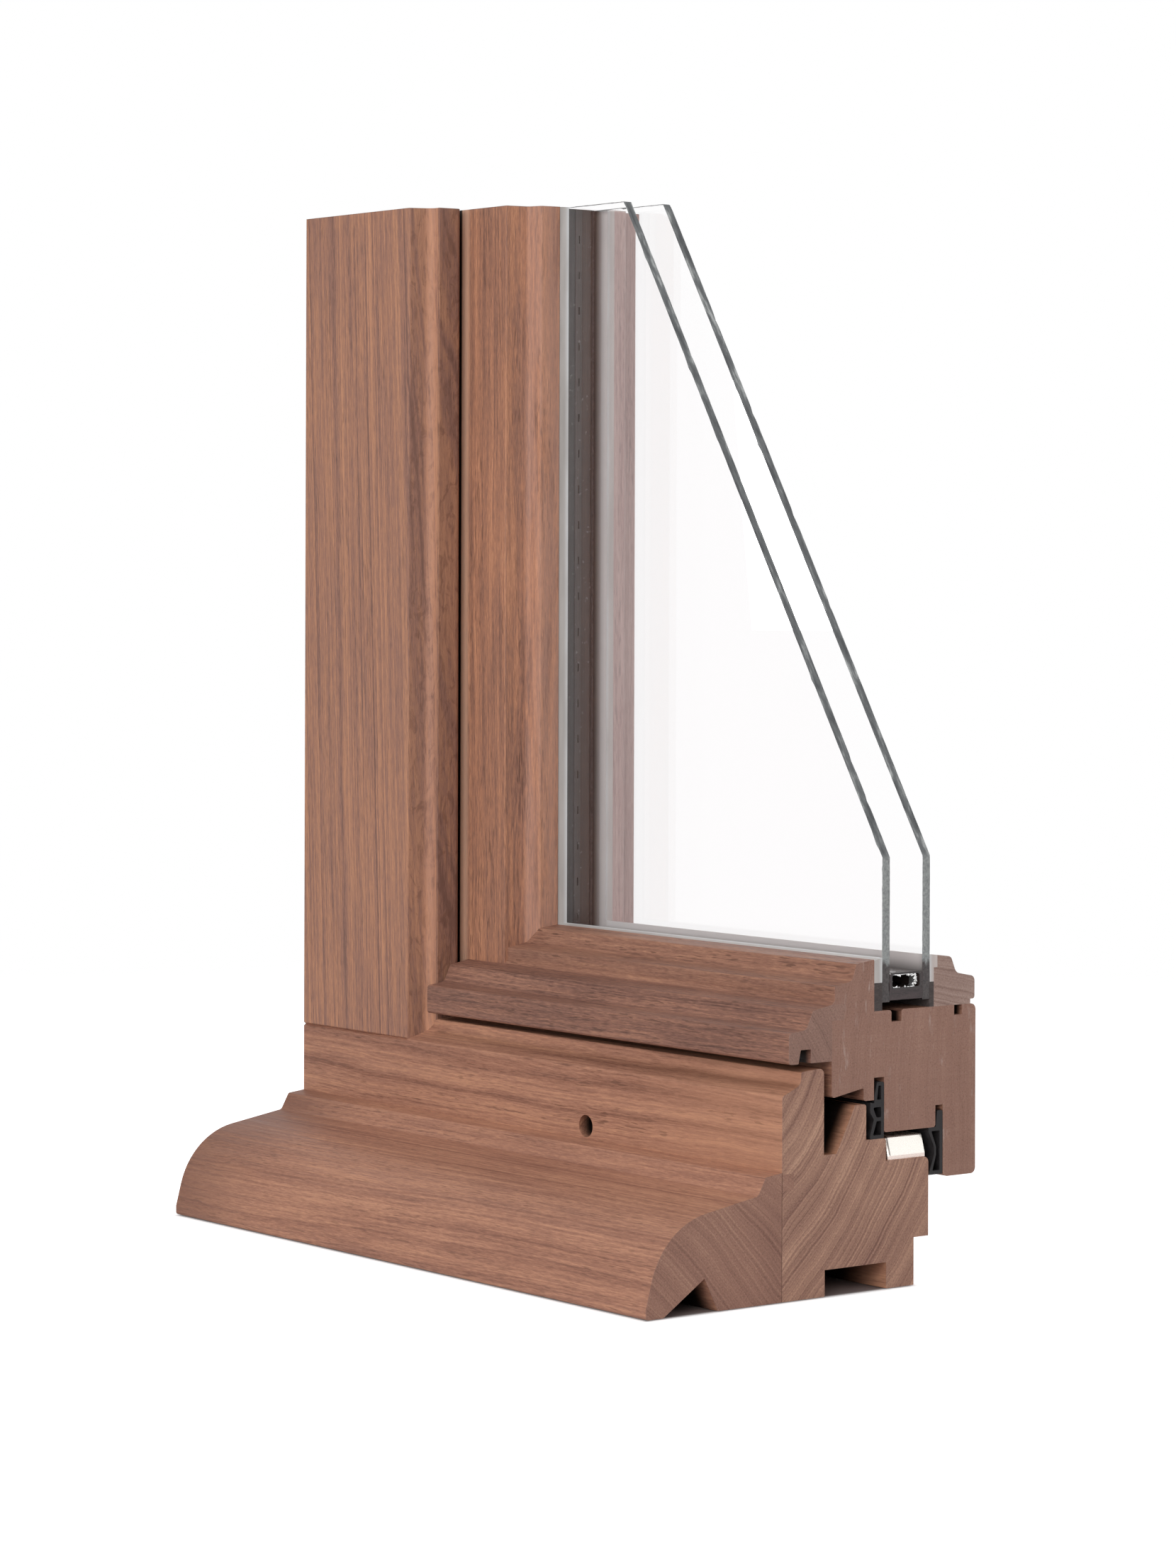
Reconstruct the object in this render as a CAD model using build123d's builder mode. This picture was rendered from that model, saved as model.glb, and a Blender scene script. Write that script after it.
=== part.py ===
from build123d import *
import os

os.makedirs("parts", exist_ok=True)

# Corner sample of a timber window: the bottom rail and stile of the fixed frame, the opening
# sash inside it and its double glazing, sawn square across the rails and level across the
# stiles. X runs along the rails to the sawn end, -Y is the weather side, Z is up.

# Sample, sawn from a whole window
sample_width = 341.4
sample_height = 454.0
timber_depth = 78.6         # face to back, the same for frame and sash
sash_setback = 26.1         # sash face behind the frame face
face_radius = 2.5           # outer arrises of the timbers
small_radius = 1.2          # arrises in the rebates and on the mouldings

# Frame timber, over the lip that the sash closes behind. Falls are measured back from the lip.
frame_width = 92.2
mould_fall = 10.2           # flat face ends and the moulding starts
mould_depth = 10.0          # moulding cut into the face beside the lip
mould_rise = 4.3
mould_cove = 4.0
lip_slope = 1.0
lip_gap = 4.2               # between the lip and the sash
drain_fall = 35.2           # channel between the lip and the middle land
drain_width = 6.8
land_fall = 16.3
land_width = 5.8
land_gap = 4.2              # between the land and the middle gasket's groove
seal_fall = 30.9            # floor that the middle gasket presses on
seal_margin = 0.9           # beyond the groove's far side
rebate_depth = 40.2         # floor that carries the keep
under_groove_front = 22.5   # groove in the underside of the rail
under_groove_width = 33.2
under_groove_height = 10.7
board_rebate_depth = 8.0    # rebate for the window board
board_rebate_height = 19.5
drain_hole = 9.4            # bored through the lip into the channel
drain_hole_inset = 128.3    # from the sawn end
joint_groove = 1.6          # V cut where the stile stands on the rail
joint_groove_depth = 1.0

# Sill nose, glued to the frame rail: reaches are measured in front of the frame face
nose_reach = 69.4
nose_height = 51.6
nose_ledge = 8.5            # top ledge beside the frame
nose_ledge_slope = 1.0
nose_step = 4.0             # small step below the ledge
nose_step_fall = 8.2
nose_brow = 8.2             # where the slope turns down to the front
nose_brow_fall = 16.3
nose_brow_radius = 34.0
nose_lip = 4.0              # upright front edge
nose_tongue_depth = 6.0
nose_tongue_height = 6.5
nose_tongue_fall = 0.6
drip_margin = 8.6           # from the front edge to the drip groove
drip_width = 27.8
drip_rise_width = 20.8      # its slanting outer side
drip_depth = 13.5

# Sash timber, frame side
sash_overlap = 12.7         # outer lip over the frame's lip
sash_lap_rise = 3.0         # its underside rises inwards
upstand = 22.6              # timber in front of the glass and of the middle gasket
nib_width = 5.5             # nib in front of the middle gasket
nib_gap = 1.3               # above the frame's land
mid_groove_width = 5.6
mid_groove_depth = 9.1
keep_room = 11.7            # between the sash and the frame's rebate
seal_room = 3.8             # between the frame's back and the inner gasket's groove
inner_groove_width = 4.2
inner_groove_depth = 9.0
inner_overlap = 9.0         # inner lip over the frame's back

# Sash timber, glass side: falls are measured back from the sight edge
rail_width = 54.9           # outer lip to sight edge
stile_width = 50.4
rebate_fall = 21.1          # floor of the glazing rebate
crest_depth = 9.6           # weathered top of the upstand
crest_fall = 1.5
sash_cove = 3.0
sash_slope_run = 9.4        # slope between the cove and the flat face
sash_slope_rise = 1.9
sash_face_fall = 10.0
quirk_depth = 1.5           # rail face set back above the weather bar
quirk_fall = 15.6
vent_groove_inset = 9.4     # airs the glazing rebate
vent_groove_width = 5.6
vent_groove_depth = 4.8
bead_groove_inset = 12.0    # under the glazing bead, from the sash's back
bead_groove_width = 4.4
bead_groove_depth = 4.1

# Weather bar, glued to the sash rail: reaches are measured in front of the sash face
bar_reach = 22.7
bar_gap = 2.3               # above the frame's lip
bar_roll_height = 12.3      # rounded front edge
bar_step_reach = 13.6       # between the front edge and the upper slope
bar_step_rise = 1.2
bar_brow_reach = 10.1
bar_top_fall = 1.9
bar_drip_front = 16.6       # drip groove
bar_drip_back = 11.2
bar_drip_depth = 5.6
bar_front_radius = 1.4
bar_cove = 3.0
bar_tongue_depth = 6.6
bar_tongue_height = 6.5
bar_end_gap = 0.8           # clear of the frame stile

# Double glazing
pane_thickness = 4.0
pane_gap = 18.0
pane_fall = 17.8            # edge of the panes
glass_cut_rise = 39.2       # sawn square this far above the sight edge, slantwise above
glass_cut_inset = 170.0     # where the slanting cut leaves at the top
spacer_fall = 6.0
spacer_height = 7.0
spacer_bond = 0.7           # sealant between spacer and pane
spacer_wall = 0.8
spacer_radius = 2.0
slit_length = 3.5           # perforations over the desiccant
slit_width = 0.6
slit_pitch = 16.0
sealant_top_fall = 6.6
sealant_bottom_fall = 17.2

# Bedding of the glass
tape_width = 4.3            # between the upstand and the outer pane
tape_top_fall = 9.7
inner_tape_width = 2.3      # between the inner pane and the bead
inner_tape_top_fall = 10.8
silicone_rise = 0.5         # smoothed a little above the timber

# Glazing bead
bead_setback = 0.6          # inner edge in front of the sash's back
bead_notch_depth = 2.0      # cut away for the silicone
bead_notch_fall = 5.0
bead_crest_run = 2.8        # from the crest down to the shoulder
bead_crest_fall = 1.0
bead_shoulder_run = 10.4    # from the shoulder to the inner edge
bead_shoulder_fall = 7.8
bead_edge_fall = 9.8
bead_foot_depth = 2.4       # small rebate under the inner edge
bead_foot_height = 2.0
bead_radius = 2.4
bead_cove = 3.2

# Rubber gaskets
gasket_play = 0.2           # between rubber and groove
mid_wall = 1.5
mid_stem_top_fall = 1.9
mid_foot_depth = 7.4
mid_waist_depth = 5.4
inner_wall = 1.6
inner_stem_top_fall = 2.3
inner_lip_depth = 4.6
inner_lip_wall = 1.1

# Steel keep on the frame rebate
keep_length = 72.0
keep_height = 9.2
keep_play = 2.4             # between the keep and the rebate's wall
keep_margin = 1.4           # between the keep and the frame's back
keep_inset = 0.8            # behind the sawn end
keep_foot = 1.6             # upright foot below the ramps at its ends
keep_ramp = 2.2
keep_chamfer = 0.8          # along its front edge
keep_screw = 4.4
keep_screw_head = 8.4
keep_screw_pitch = 44.0

# Heights that follow, from the outer edge of the frame
frame_face = frame_width - mould_fall
drain_floor = frame_width - drain_fall
land_height = frame_width - land_fall
seal_floor = frame_width - seal_fall
rebate_floor = frame_width - rebate_depth
sash_lap = frame_width - sash_overlap
nib_height = land_height + nib_gap
mid_groove_top = nib_height + mid_groove_depth
sash_under = rebate_floor + keep_room
inner_groove_top = sash_under + inner_groove_depth
inner_lap = rebate_floor - inner_overlap
rail_sight = sash_lap + rail_width
stile_sight = sash_lap + stile_width
rail_rebate = rail_sight - rebate_fall
stile_rebate = stile_sight - rebate_fall
bar_bottom = frame_width + bar_gap
bar_top = rail_sight - quirk_fall - quirk_depth
tongue_top = nose_height - nose_tongue_fall

# Depths that follow, behind the frame face
lip_back = sash_setback - lip_gap
upstand_back = sash_setback + upstand
mid_groove_back = upstand_back + mid_groove_width
nib_front = upstand_back - nib_width
land_back = upstand_back - land_gap
land_front = land_back - land_width
seal_back = mid_groove_back + seal_margin
inner_groove_front = timber_depth + seal_room
inner_groove_back = inner_groove_front + inner_groove_width
sash_back = sash_setback + timber_depth
outer_pane_front = upstand_back + tape_width
outer_pane_back = outer_pane_front + pane_thickness
inner_pane_front = outer_pane_back + pane_gap
inner_pane_back = inner_pane_front + pane_thickness
bead_front = inner_pane_back + inner_tape_width
bead_back = sash_back - bead_setback
vent_groove_front = upstand_back + vent_groove_inset
bead_groove_front = sash_back - bead_groove_inset
keep_front = seal_back + keep_play
keep_back = timber_depth - keep_margin

# Centred on its width and depth
left = -sample_width / 2
right = sample_width / 2
face_y = (nose_reach - sash_back) / 2

# Section planes: depth behind the frame face across, distance from the outer edge up
rail_plane = Plane(origin=(left, face_y, 0), x_dir=(0, 1, 0), z_dir=(1, 0, 0))
end_plane = Plane(origin=(right, face_y, 0), x_dir=(0, 1, 0), z_dir=(1, 0, 0))
stile_plane = Plane(origin=(left, face_y, sample_height), x_dir=(0, 1, 0), z_dir=(0, 0, -1))
glass_corner = (left + stile_sight, face_y, rail_sight)
glass_mitre = Plane(origin=glass_corner, z_dir=(1, 0, -1))


def outline(*corners, mode=Mode.ADD):
    """Fill a closed outline of (depth, height, corner radius) triples, anticlockwise."""
    points = [(depth, height) for depth, height, radius in corners]
    radii = [radius for depth, height, radius in corners]
    with BuildLine() as edge_line:
        FilletPolyline(*points, radius=radii, close=True)
    make_face(edge_line.edges(), mode=mode)


def block(front, back, bottom, top, mode=Mode.ADD):
    """Fill a rectangle between two depths and two heights."""
    with Locations(((front + back) / 2, (bottom + top) / 2)):
        Rectangle(back - front, top - bottom, mode=mode)


def path_round_corner(corner_x, corner_z):
    """The way of a strip along the rail and, mitred at the corner, up the stile."""
    return Polyline(
        (right, face_y, corner_z),
        (corner_x, face_y, corner_z),
        (corner_x, face_y, sample_height),
    )


def frame_section():
    """Frame timber from its outer edge to the lip."""
    outline(
        (0, 0, 0),
        (timber_depth, 0, 0),
        (timber_depth, rebate_floor, face_radius),
        (seal_back, rebate_floor, 0),
        (seal_back, seal_floor, small_radius),
        (land_back, seal_floor, 0),
        (land_back, land_height, small_radius),
        (land_front, land_height, small_radius / 2),
        (lip_back + drain_width, drain_floor, 0),
        (lip_back, drain_floor, 0),
        (lip_back, frame_width, face_radius),
        (mould_depth, frame_width - lip_slope, small_radius / 2),
        (mould_depth, frame_face + mould_rise, mould_cove),
        (0, frame_face, small_radius),
    )


def joint_groove_section():
    """V cut along the joint of the frame's stile and rail."""
    outline(
        (0, frame_face - joint_groove / 2, 0),
        (joint_groove_depth, frame_face, 0),
        (0, frame_face + joint_groove / 2, 0),
    )


# Frame side of the sash timber, from its face to its back
sash_frame_side = [
    (sash_setback, sash_lap, small_radius),
    (nib_front, sash_lap + sash_lap_rise, small_radius / 2),
    (nib_front, nib_height, small_radius),
    (upstand_back, nib_height, 0),
    (upstand_back, mid_groove_top, 0),
    (mid_groove_back, mid_groove_top, 0),
    (mid_groove_back, sash_under, small_radius),
    (inner_groove_front, sash_under, small_radius),
    (inner_groove_front, inner_groove_top, 0),
    (inner_groove_back, inner_groove_top, 0),
    (inner_groove_back, inner_lap, face_radius),
    (sash_back, inner_lap, face_radius),
]


def sash_section(sight, quirk):
    """Sash timber from its laps over the frame to the sight edge."""
    rebate = sight - rebate_fall
    face = sash_setback + quirk
    face_top = sight - sash_face_fall
    quirk_top = sight - quirk_fall
    quirk_corners = [(face, quirk_top, 0), (sash_setback, quirk_top - quirk, 0)] if quirk else []
    outline(
        *sash_frame_side,
        (sash_back, rebate, face_radius),
        (bead_groove_front + bead_groove_width, rebate, 0),
        (bead_groove_front + bead_groove_width, rebate - bead_groove_depth, 0),
        (bead_groove_front, rebate - bead_groove_depth, 0),
        (bead_groove_front, rebate, 0),
        (vent_groove_front + vent_groove_width, rebate, small_radius),
        (vent_groove_front + vent_groove_width, rebate - vent_groove_depth, 0),
        (vent_groove_front, rebate - vent_groove_depth, 0),
        (vent_groove_front, rebate, small_radius),
        (upstand_back, rebate, 0),
        (upstand_back, sight, small_radius / 2),
        (upstand_back - crest_depth, sight - crest_fall, small_radius),
        (sash_setback + sash_slope_run + quirk_depth, face_top + sash_slope_rise, sash_cove),
        (face, face_top, small_radius / 2),
        *quirk_corners,
    )


def bead_section(sight):
    """Glazing bead: notched for the silicone, ogee towards the room, rebated foot."""
    rebate = sight - rebate_fall
    crest = bead_back - bead_shoulder_run - bead_crest_run
    outline(
        (bead_front, rebate, 0),
        (bead_back - bead_foot_depth, rebate, 0),
        (bead_back - bead_foot_depth, rebate + bead_foot_height, 0),
        (bead_back, rebate + bead_foot_height, bead_radius / 2),
        (bead_back, sight - bead_edge_fall, bead_radius),
        (bead_back - bead_shoulder_run, sight - bead_shoulder_fall, bead_cove),
        (crest, sight - bead_crest_fall, bead_radius),
        (bead_front + bead_notch_depth, sight, 0),
        (bead_front + bead_notch_depth, sight - bead_notch_fall, 0),
        (bead_front, sight - bead_notch_fall, 0),
    )


def bar_groove():
    """Groove in the sash that the weather bar's tongue fills."""
    block(sash_setback, sash_setback + bar_tongue_depth, bar_top - bar_tongue_height, bar_top)


# The frame rail runs through to the outer corner, under the stile.
with BuildPart() as frame_rail:
    with BuildSketch(rail_plane):
        frame_section()
    extrude(amount=sample_width)
    with BuildSketch(rail_plane):
        groove_back = under_groove_front + under_groove_width
        block(under_groove_front, groove_back, 0, under_groove_height)
        block(timber_depth - board_rebate_depth, timber_depth, 0, board_rebate_height)
        block(0, nose_tongue_depth, tongue_top - nose_tongue_height, tongue_top)
    extrude(amount=sample_width, mode=Mode.SUBTRACT)
    with BuildSketch(rail_plane):
        joint_groove_section()
    extrude(amount=frame_face, mode=Mode.SUBTRACT)
    hole_centre = (right - drain_hole_inset, face_y, drain_floor)
    with BuildSketch(Plane(origin=hole_centre, z_dir=(0, 1, 0))):
        Circle(drain_hole / 2)
    extrude(amount=lip_back + drain_width, mode=Mode.SUBTRACT)
frame_rail.part.label = "frame_rail"

# The frame stile stands on the rail, its foot scribed over the rail's section.
with BuildPart() as frame_stile:
    with BuildSketch(stile_plane):
        frame_section()
    extrude(amount=sample_height)
    with BuildSketch(rail_plane):
        frame_section()
    extrude(amount=frame_width, mode=Mode.SUBTRACT)
    with BuildSketch(rail_plane):
        joint_groove_section()
    extrude(amount=frame_face, mode=Mode.SUBTRACT)
frame_stile.part.label = "frame_stile"

with BuildPart() as sill_nose:
    with BuildSketch(rail_plane):
        outline(
            (0, 0, 0),
            (0, nose_height, 0),
            (-nose_ledge, nose_height - nose_ledge_slope, small_radius),
            (-nose_ledge - nose_step, nose_height - nose_step_fall, mould_cove / 2),
            (nose_brow - nose_reach, nose_height - nose_brow_fall, nose_brow_radius),
            (-nose_reach, nose_lip, 0),
            (-nose_reach, 0, small_radius),
            (drip_margin - nose_reach, 0, 0),
            (drip_margin + drip_rise_width - nose_reach, drip_depth, 0),
            (drip_margin + drip_width - nose_reach, 0, 0),
        )
        block(0, nose_tongue_depth, tongue_top - nose_tongue_height, tongue_top)
    extrude(amount=sample_width)
sill_nose.part.label = "sill_nose"

# The sash stile runs through to the foot, where the lap of the rail is worked across it.
with BuildPart() as sash_stile:
    with BuildSketch(stile_plane):
        sash_section(stile_sight, 0)
    extrude(amount=sample_height)
    with BuildSketch(rail_plane):
        outline(
            (0, 0, 0),
            (sash_back + timber_depth, 0, 0),
            (sash_back + timber_depth, mid_groove_top, 0),
            (sash_back, mid_groove_top, 0),
            *reversed(sash_frame_side),
            (sash_setback, mid_groove_top, 0),
            (0, mid_groove_top, 0),
        )
    extrude(amount=stile_sight, mode=Mode.SUBTRACT)
    with BuildSketch(rail_plane.offset(frame_width + bar_end_gap)):
        bar_groove()
    extrude(amount=sample_width, mode=Mode.SUBTRACT)
sash_stile.part.label = "sash_stile"

# The sash rail butts against the stile, its end scribed to the stile's section.
with BuildPart() as sash_rail:
    shoulder = (mid_groove_top + stile_rebate - vent_groove_depth) / 2
    with BuildSketch(rail_plane.offset(shoulder)):
        sash_section(rail_sight, quirk_depth)
    extrude(amount=sample_width - shoulder)
    with BuildSketch(stile_plane):
        sash_section(stile_sight, 0)
        block(upstand_back, sash_back, shoulder, stile_rebate)
    extrude(amount=sample_height, mode=Mode.SUBTRACT)
    with BuildSketch(rail_plane):
        bar_groove()
    extrude(amount=sample_width, mode=Mode.SUBTRACT)
sash_rail.part.label = "sash_rail"

# Weather bar, glued on, a tongue let into the rail and its end just clear of the frame stile
with BuildPart() as weather_bar:
    with BuildSketch(rail_plane.offset(frame_width + bar_end_gap)):
        front = sash_setback - bar_reach
        roll_top = bar_bottom + bar_roll_height
        outline(
            (sash_setback, bar_bottom, 0),
            (sash_setback, bar_top, 0),
            (sash_setback - bar_brow_reach, bar_top - bar_top_fall, small_radius),
            (sash_setback - bar_step_reach, roll_top + bar_step_rise, bar_cove),
            (front, roll_top, bar_front_radius),
            (front, bar_bottom, bar_front_radius),
            (sash_setback - bar_drip_front - small_radius, bar_bottom, small_radius / 2),
            (sash_setback - bar_drip_front, bar_bottom + bar_drip_depth, small_radius / 2),
            (sash_setback - bar_drip_back, bar_bottom + bar_drip_depth, 0),
            (sash_setback - bar_drip_back, bar_bottom, 0),
        )
        bar_groove()
    extrude(amount=sample_width - frame_width - bar_end_gap)
weather_bar.part.label = "weather_bar"

# Glazing beads, mitred at the corner
with BuildPart() as bottom_bead:
    with BuildSketch(rail_plane):
        bead_section(rail_sight)
    extrude(amount=sample_width)
    split(bisect_by=glass_mitre, keep=Keep.TOP)
bottom_bead.part.label = "bottom_bead"

with BuildPart() as side_bead:
    with BuildSketch(stile_plane):
        bead_section(stile_sight)
    extrude(amount=sample_height)
    split(bisect_by=glass_mitre, keep=Keep.BOTTOM)
side_bead.part.label = "side_bead"


def upright_plane(depth):
    """Plane facing the weather side at a depth behind the frame face, seen from outside."""
    return Plane(origin=(left, face_y + depth, 0), x_dir=(1, 0, 0), z_dir=(0, -1, 0))


def pane_outline():
    """Pane sawn square at the end below and slantwise above."""
    pane_left = stile_sight - pane_fall
    pane_bottom = rail_sight - pane_fall
    outline(
        (pane_left, pane_bottom, 0),
        (sample_width, pane_bottom, 0),
        (sample_width, rail_sight + glass_cut_rise, 0),
        (glass_cut_inset, sample_height, 0),
        (pane_left, sample_height, 0),
    )


with BuildPart() as outer_pane:
    with BuildSketch(upright_plane(outer_pane_front)):
        pane_outline()
    extrude(amount=-pane_thickness)
outer_pane.part.label = "outer_pane"

with BuildPart() as inner_pane:
    with BuildSketch(upright_plane(inner_pane_front)):
        pane_outline()
    extrude(amount=-pane_thickness)
inner_pane.part.label = "inner_pane"

# Spacer, a thin hollow bar bent round the corner between the panes, pierced with slits
spacer_top = rail_sight - spacer_fall
spacer_side = left + stile_sight - spacer_fall
spacer_y = face_y + outer_pane_back + pane_gap / 2
spacer_width = pane_gap - 2 * spacer_bond
with BuildPart() as spacer_bar:
    with BuildLine():
        spacer_path = path_round_corner(spacer_side, spacer_top)
    with BuildSketch(Plane(origin=(right, spacer_y, spacer_top), x_dir=(0, 1, 0), z_dir=(1, 0, 0))):
        with Locations((0, -spacer_height / 2)):
            RectangleRounded(spacer_width, spacer_height, spacer_radius)
            bore_width = spacer_width - 2 * spacer_wall
            bore_height = spacer_height - 2 * spacer_wall
            bore_radius = spacer_radius - spacer_wall
            RectangleRounded(bore_width, bore_height, bore_radius, mode=Mode.SUBTRACT)
    sweep(path=spacer_path, transition=Transition.RIGHT)
    slit_depth = 2 * spacer_wall
    upright_slits = int((sample_height - spacer_top) / slit_pitch)
    heights = [spacer_top + slit_pitch * (count + 0.5) for count in range(upright_slits)]
    with Locations(*[(spacer_side, spacer_y, height) for height in heights]):
        Box(slit_depth, slit_width, slit_length, mode=Mode.SUBTRACT)
    level_slits = int((right - spacer_side) / slit_pitch)
    places = [spacer_side + slit_pitch * (count + 0.5) for count in range(level_slits)]
    with Locations(*[(place, spacer_y, spacer_top) for place in places]):
        Box(slit_length, slit_width, slit_depth, mode=Mode.SUBTRACT)
spacer_bar.part.label = "spacer_bar"

# Sealant between the panes, filled in round the spacer
with BuildPart() as edge_sealant:
    with BuildLine():
        path_round_corner(left + stile_sight, rail_sight)
    with BuildSketch(end_plane):
        block(
            outer_pane_back,
            inner_pane_front,
            rail_sight - sealant_bottom_fall,
            rail_sight - sealant_top_fall,
        )
        with Locations((outer_pane_back + pane_gap / 2, spacer_top - spacer_height / 2)):
            RectangleRounded(spacer_width, spacer_height, spacer_radius, mode=Mode.SUBTRACT)
    sweep(transition=Transition.RIGHT)
edge_sealant.part.label = "edge_sealant"

# Foam tapes that bed the glass, and the silicone run in above them
with BuildPart() as outer_tape:
    with BuildLine():
        path_round_corner(left + stile_sight, rail_sight)
    with BuildSketch(end_plane):
        block(upstand_back, outer_pane_front, rail_rebate, rail_sight - tape_top_fall)
    sweep(transition=Transition.RIGHT)
outer_tape.part.label = "outer_tape"

with BuildPart() as inner_tape:
    with BuildLine():
        path_round_corner(left + stile_sight, rail_sight)
    with BuildSketch(end_plane):
        block(inner_pane_back, bead_front, rail_rebate, rail_sight - inner_tape_top_fall)
    sweep(transition=Transition.RIGHT)
inner_tape.part.label = "inner_tape"

with BuildPart() as outer_silicone:
    with BuildLine():
        path_round_corner(left + stile_sight, rail_sight)
    with BuildSketch(end_plane):
        outline(
            (upstand_back, rail_sight - tape_top_fall, 0),
            (outer_pane_front, rail_sight - tape_top_fall, 0),
            (outer_pane_front, rail_sight + silicone_rise, 0),
            (upstand_back, rail_sight - small_radius / 2, 0),
        )
    sweep(transition=Transition.RIGHT)
outer_silicone.part.label = "outer_silicone"

with BuildPart() as inner_silicone:
    with BuildLine():
        path_round_corner(left + stile_sight, rail_sight)
    with BuildSketch(end_plane):
        notch_back = bead_front + bead_notch_depth
        outline(
            (inner_pane_back, rail_sight - inner_tape_top_fall, 0),
            (bead_front, rail_sight - inner_tape_top_fall, 0),
            (bead_front, rail_sight - bead_notch_fall, 0),
            (notch_back, rail_sight - bead_notch_fall, 0),
            (notch_back, rail_sight, 0),
            (inner_pane_back, rail_sight + silicone_rise, 0),
        )
    sweep(transition=Transition.RIGHT)
inner_silicone.part.label = "inner_silicone"

# Middle gasket: a stem in the sash groove over two soft chambers that meet the frame
with BuildPart() as middle_gasket:
    with BuildLine():
        path_round_corner(left + frame_width, frame_width)
    with BuildSketch(end_plane):
        stem_top = mid_groove_top - mid_stem_top_fall
        back = mid_groove_back - gasket_play
        front = upstand_back + gasket_play
        waist = (seal_floor + nib_height) / 2
        outline(
            (back, seal_floor, 0.4),
            (back, stem_top, 1),
            (front + mid_wall, stem_top, 0.6),
            (front, nib_height + mid_wall, 0.8),
            (front, nib_height - mid_wall, 0.4),
            (back - mid_foot_depth, nib_height - mid_wall / 2, 0.3),
            (back - mid_foot_depth, waist + 2 * mid_wall, 1.6),
            (back - mid_waist_depth, waist, 0.8),
            (back - mid_foot_depth, seal_floor + mid_wall, 0.8),
            (back - mid_foot_depth, seal_floor, 0.4),
        )
        outline(
            (front + mid_wall, nib_height, 0.3),
            (back - mid_wall, nib_height, 0.3),
            (back - mid_wall, stem_top - mid_wall, 0.3),
            (front + 1.5 * mid_wall, stem_top - mid_wall, 0.2),
            mode=Mode.SUBTRACT,
        )
        outline(
            (back - mid_waist_depth + mid_wall, waist + mid_wall / 2, 0.4),
            (back - mid_wall, waist + mid_wall / 2, 0.4),
            (back - mid_wall, nib_height - 2 * mid_wall, 0.4),
            (back - mid_foot_depth + mid_wall, nib_height - 2 * mid_wall, 0.6),
            mode=Mode.SUBTRACT,
        )
        outline(
            (back - mid_foot_depth + mid_wall, seal_floor + mid_wall, 0.4),
            (back - mid_wall, seal_floor + mid_wall, 0.4),
            (back - mid_wall, waist - mid_wall / 2, 0.4),
            (back - mid_waist_depth + mid_wall, waist - mid_wall / 2, 0.4),
            mode=Mode.SUBTRACT,
        )
    sweep(transition=Transition.RIGHT)
middle_gasket.part.label = "middle_gasket"

# Inner gasket: a stem in the sash groove and a bowed lip against the frame's back
with BuildPart() as inner_gasket:
    with BuildLine():
        path_round_corner(left + frame_width, frame_width)
    with BuildSketch(end_plane):
        stem_top = inner_groove_top - inner_stem_top_fall
        back = inner_groove_back - gasket_play
        front = inner_groove_front + gasket_play
        foot = inner_lap + small_radius
        middle = (foot + sash_under) / 2
        outline(
            (back, foot, 0.4),
            (back, stem_top, 0.8),
            (front + inner_wall / 2, stem_top, 0.4),
            (front, sash_under, 0.6),
            (timber_depth, sash_under, 0.2),
            (timber_depth, sash_under - inner_wall, 0.2),
            (back - inner_lip_depth, middle + inner_wall, 6),
            (back - inner_lip_depth, middle - inner_wall, 6),
            (timber_depth, foot, 0.2),
        )
        outline(
            (timber_depth + 2 * inner_lip_wall, foot + inner_wall, 0.3),
            (back - inner_wall, foot + inner_wall, 0.3),
            (back - inner_wall, sash_under - inner_wall, 0.3),
            (timber_depth + inner_wall, sash_under - inner_wall, 0.3),
            (back - inner_lip_depth + inner_lip_wall, middle + inner_wall, 3),
            (back - inner_lip_depth + inner_lip_wall, middle - inner_wall, 3),
            mode=Mode.SUBTRACT,
        )
    sweep(transition=Transition.RIGHT)
inner_gasket.part.label = "inner_gasket"

# Steel keep, screwed to the frame's rebate floor under the sash
with BuildPart() as keep_plate:
    keep_end = sample_width - keep_inset
    with BuildSketch(upright_plane(keep_front)):
        outline(
            (keep_end - keep_length, rebate_floor, 0),
            (keep_end, rebate_floor, 0),
            (keep_end, rebate_floor + keep_foot, 0),
            (keep_end - keep_ramp, rebate_floor + keep_height, 0.8),
            (keep_end - keep_length + keep_ramp, rebate_floor + keep_height, 0.8),
            (keep_end - keep_length, rebate_floor + keep_foot, 0),
        )
    extrude(amount=keep_front - keep_back)
    keep_side = keep_plate.faces().sort_by(Axis.Y)[0]
    chamfer(keep_side.edges().sort_by(Axis.Z)[1:], length=keep_chamfer)
    keep_x = left + keep_end - keep_length / 2
    keep_y = face_y + (keep_front + keep_back) / 2
    with Locations((keep_x, keep_y, rebate_floor + keep_height)):
        with GridLocations(keep_screw_pitch, 1, 2, 1):
            CounterSinkHole(radius=keep_screw / 2, counter_sink_radius=keep_screw_head / 2)
keep_plate.part.label = "keep_plate"

pieces = [
    frame_rail,
    frame_stile,
    sill_nose,
    sash_rail,
    sash_stile,
    weather_bar,
    outer_pane,
    inner_pane,
    spacer_bar,
    edge_sealant,
    outer_tape,
    inner_tape,
    outer_silicone,
    inner_silicone,
    bottom_bead,
    side_bead,
    middle_gasket,
    inner_gasket,
    keep_plate,
]
for piece in pieces:
    export_step(piece.part, f"parts/{piece.part.label}.step")
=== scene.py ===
import math
import random

import bpy
from mathutils import Matrix, Vector


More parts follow.
